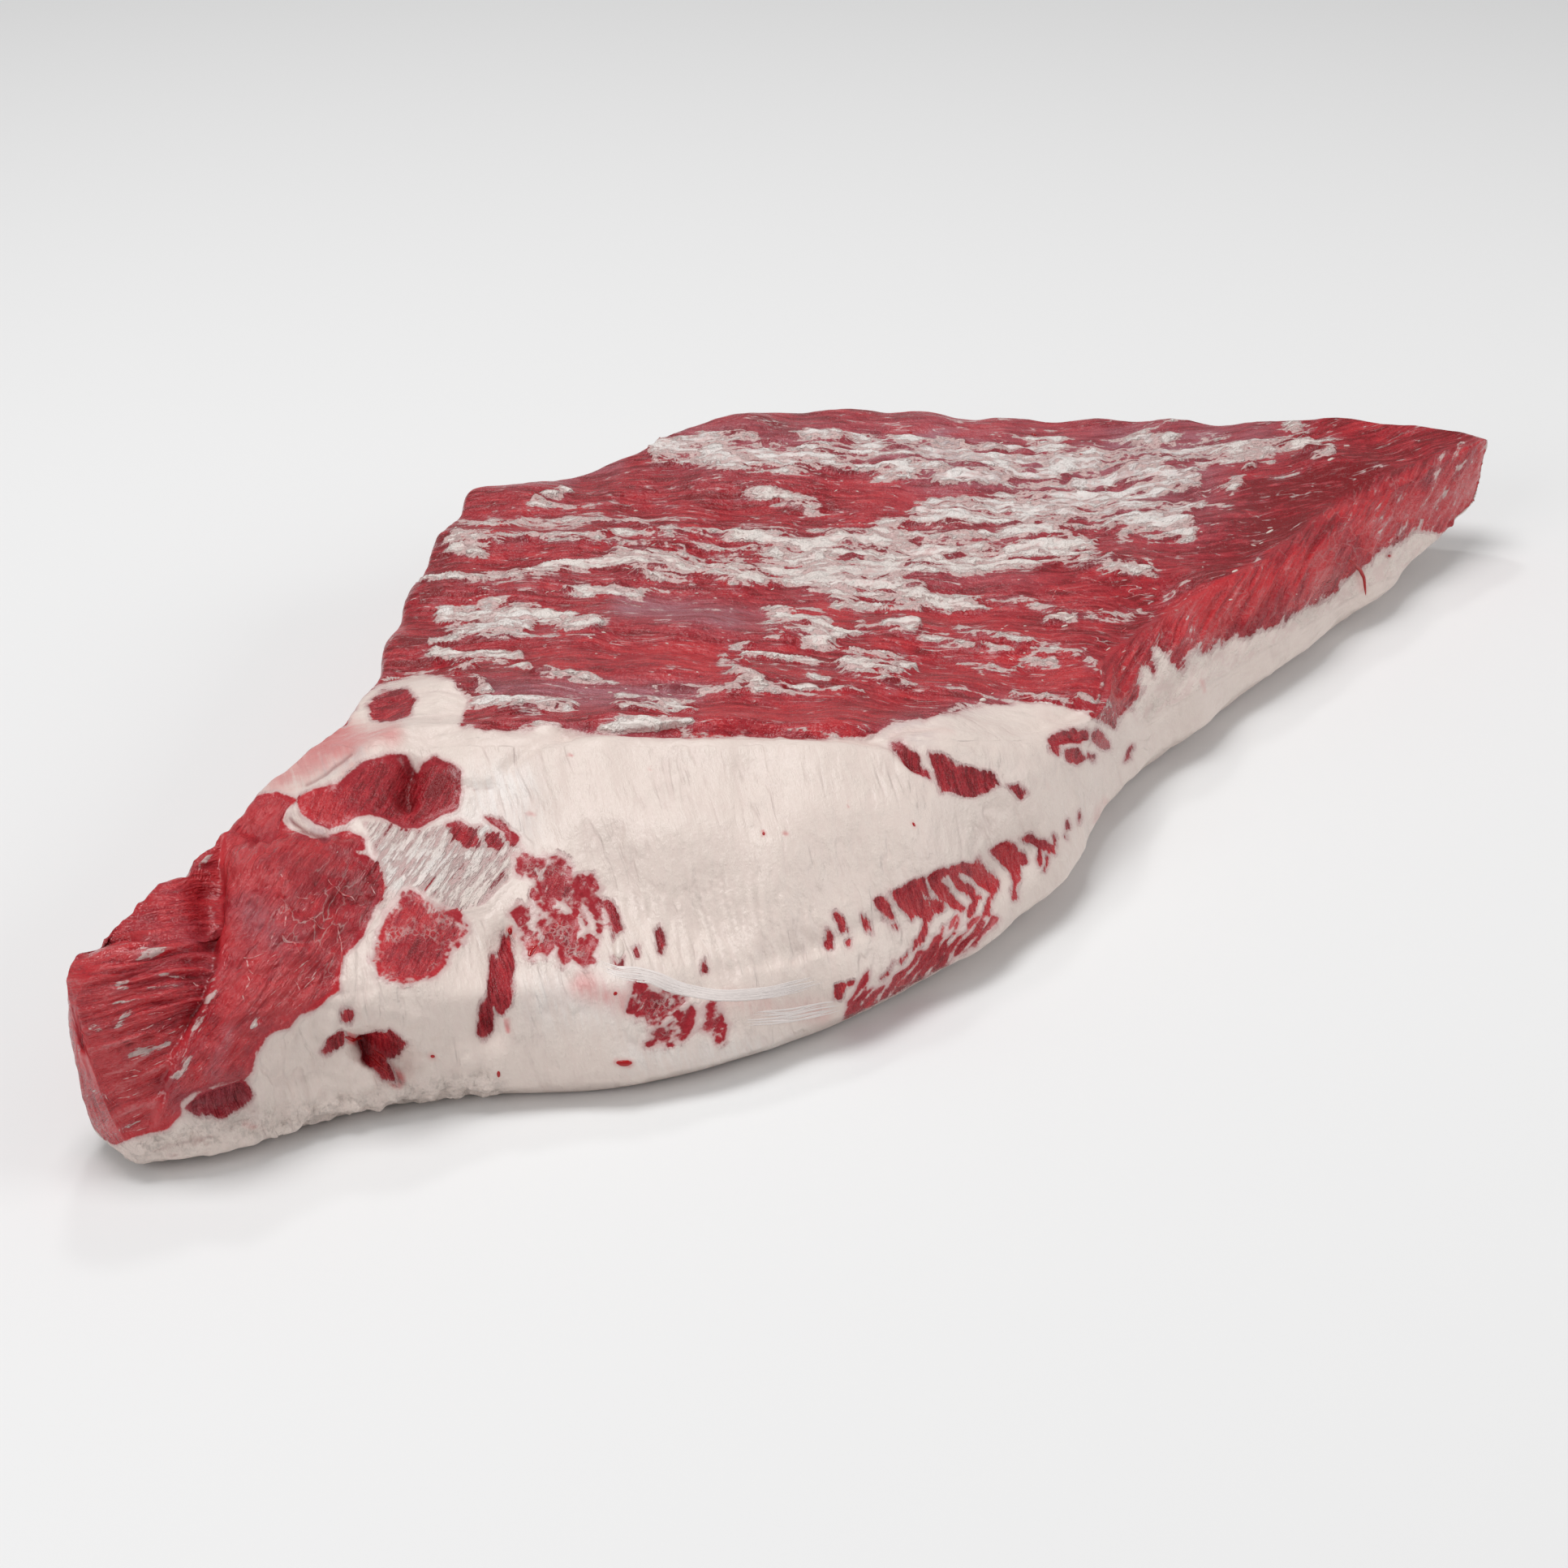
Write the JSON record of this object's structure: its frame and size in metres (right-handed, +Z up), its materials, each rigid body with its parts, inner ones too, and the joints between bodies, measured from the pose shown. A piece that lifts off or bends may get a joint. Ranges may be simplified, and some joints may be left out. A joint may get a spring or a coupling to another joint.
{
  "type": "raw beef brisket",
  "caption": "Whole raw brisket of beef lying on its fat cap, with the marbled lean side, kernel fat, ragged point end and thinner flat end shown.",
  "frame": {"origin": "middle of the footprint on the board, at the bottom of the bounding box", "axes": "+X along the longest extent from the point end to the far corner of the flat, +Z up through the thickness, -Y is the side with the kernel fat and the edge of the fat cap"},
  "size_m": [0.545, 0.27, 0.062],
  "materials": {
    "lean_meat": "moist raw beef, red lean streaked with cream white fat",
    "beef_fat": "firm cream white fat with a soft waxy sheen"
  },
  "bodies": {
    "root": {"brisket": "lean_meat"}
  },
  "joints": []
}
